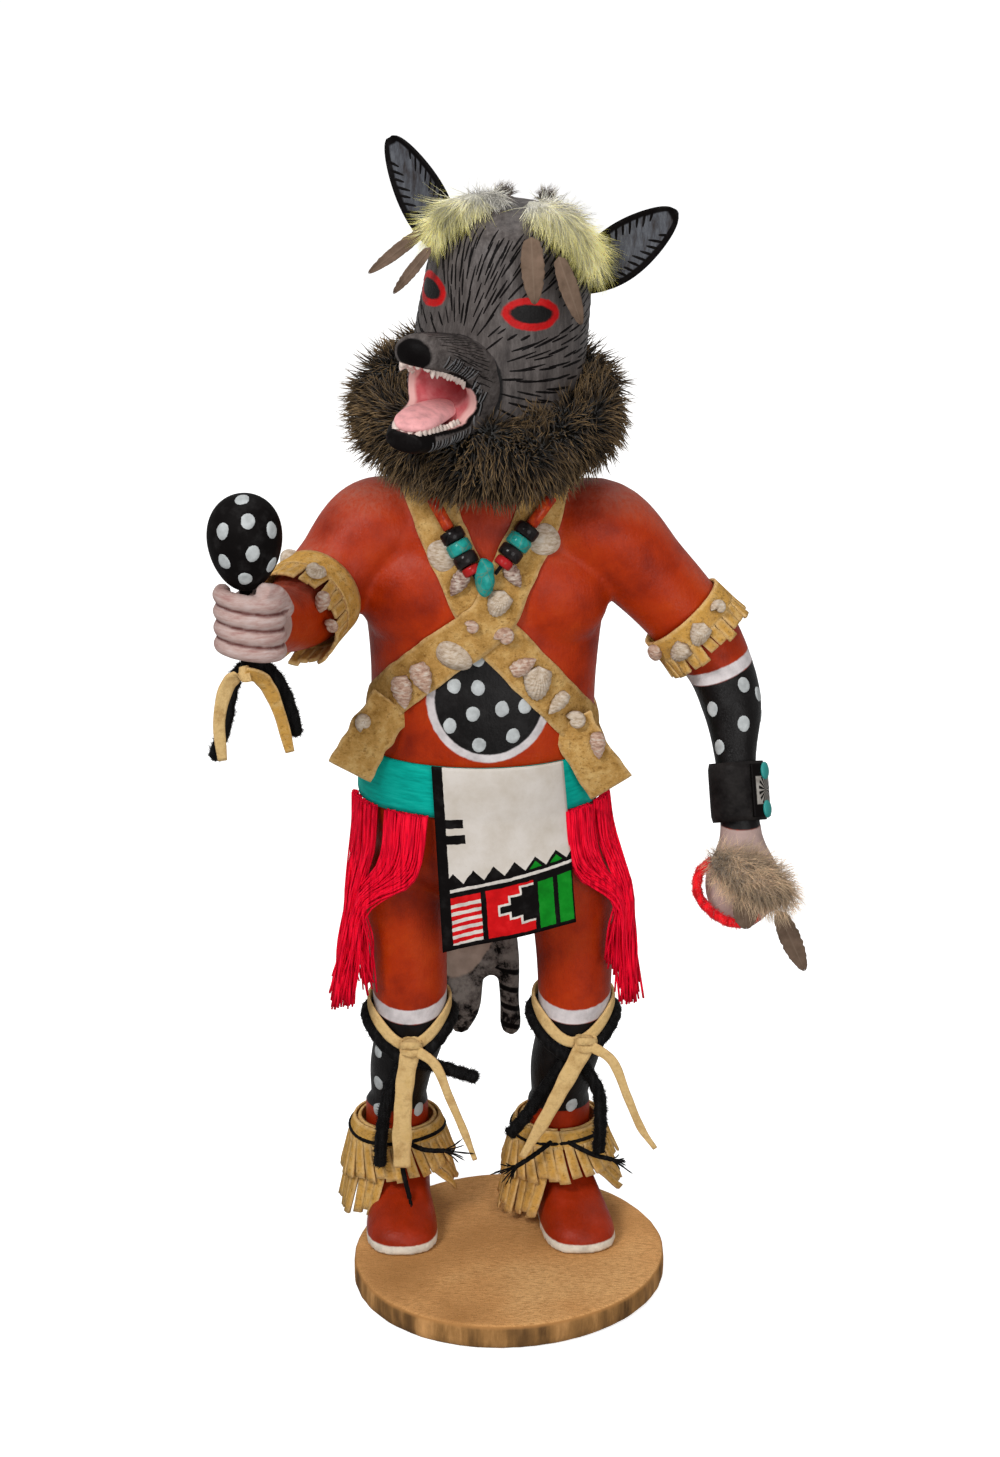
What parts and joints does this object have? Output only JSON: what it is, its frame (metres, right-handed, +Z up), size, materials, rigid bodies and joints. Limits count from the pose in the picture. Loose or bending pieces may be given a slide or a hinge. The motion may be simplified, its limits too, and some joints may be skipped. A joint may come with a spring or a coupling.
{
  "type": "kachina doll",
  "caption": "Carved and painted standing wolf dancer doll with fur ruff, crossed shell straps, kilt, sash, rattle and feathers, on a log slice base.",
  "frame": {"origin": "middle of the base's flat underside", "axes": "+Z up, the doll facing -Y, the doll's right side at -X"},
  "size_m": [0.203, 0.1304, 0.4014],
  "materials": {
    "log_wood": "saw-cut face, bark-dark edge",
    "painted_wood": "brushed paint, low sheen",
    "fur": "dense brown fur",
    "leather": "tan suede with pale cut edges",
    "belt_leather": "turquoise paint with brush strokes",
    "kilt_cloth": "white with painted border",
    "sash_thread": "crimson thread",
    "black_leather": "dull black",
    "plaque": "silver on black with turquoise ovals",
    "black_yarn": "fuzzy black yarn",
    "down": "soft down, yellow to cream",
    "feather": "grey-brown vane",
    "coral": "polished red",
    "jet": "polished black",
    "turquoise": "polished blue-green",
    "shell": "glossy, banded tan to white"
  },
  "bodies": {
    "root": {"base": "log_wood", "figure": "painted_wood", "muzzle": "painted_wood", "tongue": "painted_wood", "ear_right": "painted_wood", "ear_left": "painted_wood", "fur_ruff": "fur", "bandolier_under": "leather", "bandolier_over": "leather", "belt": "belt_leather", "kilt_flap": "kilt_cloth", "sash_fringe_right": "sash_thread", "sash_fringe_left": "sash_thread", "rattle": "painted_wood", "armband_right": "leather", "armband_left": "leather", "bow_guard": "black_leather", "bow_guard_plaque": "plaque", "knee_thong_right": "leather", "knee_thong_left": "leather", "knee_yarn_right": "black_yarn", "knee_yarn_left": "black_yarn", "ankle_cuff_right": "leather", "ankle_cuff_left": "leather", "ankle_thread_right": "black_yarn", "ankle_thread_left": "black_yarn", "pelt": "painted_wood", "rattle_thong": "leather", "rattle_yarn": "black_yarn", "hand_yarn": "sash_thread", "hand_down": "down", "hand_feather_long": "feather", "hand_feather_short": "feather", "head_down_right": "down", "head_down_left": "down", "head_feather_outer_right": "feather", "head_feather_inner_right": "feather", "head_feather_inner_left": "feather", "head_feather_outer_left": "feather", "bead_tube_right": "coral", "bead_upper_jet_right": "jet", "bead_turquoise_right": "turquoise", "bead_lower_jet_right": "jet", "bead_coral_right": "coral", "bead_tube_left": "coral", "bead_upper_jet_left": "jet", "bead_turquoise_left": "turquoise", "bead_lower_jet_left": "jet", "bead_coral_left": "coral", "pendant": "turquoise", "shell_disc_right": "shell", "shell_disc_left": "shell", "shell_cockle_middle": "shell", "shell_limpet": "shell", "shell_whelk_upper": "shell", "shell_whelk_lower": "shell", "shell_periwinkle": "shell", "shell_scallop": "shell", "shell_cone": "shell", "shell_nerite": "shell"}
  },
  "joints": []
}
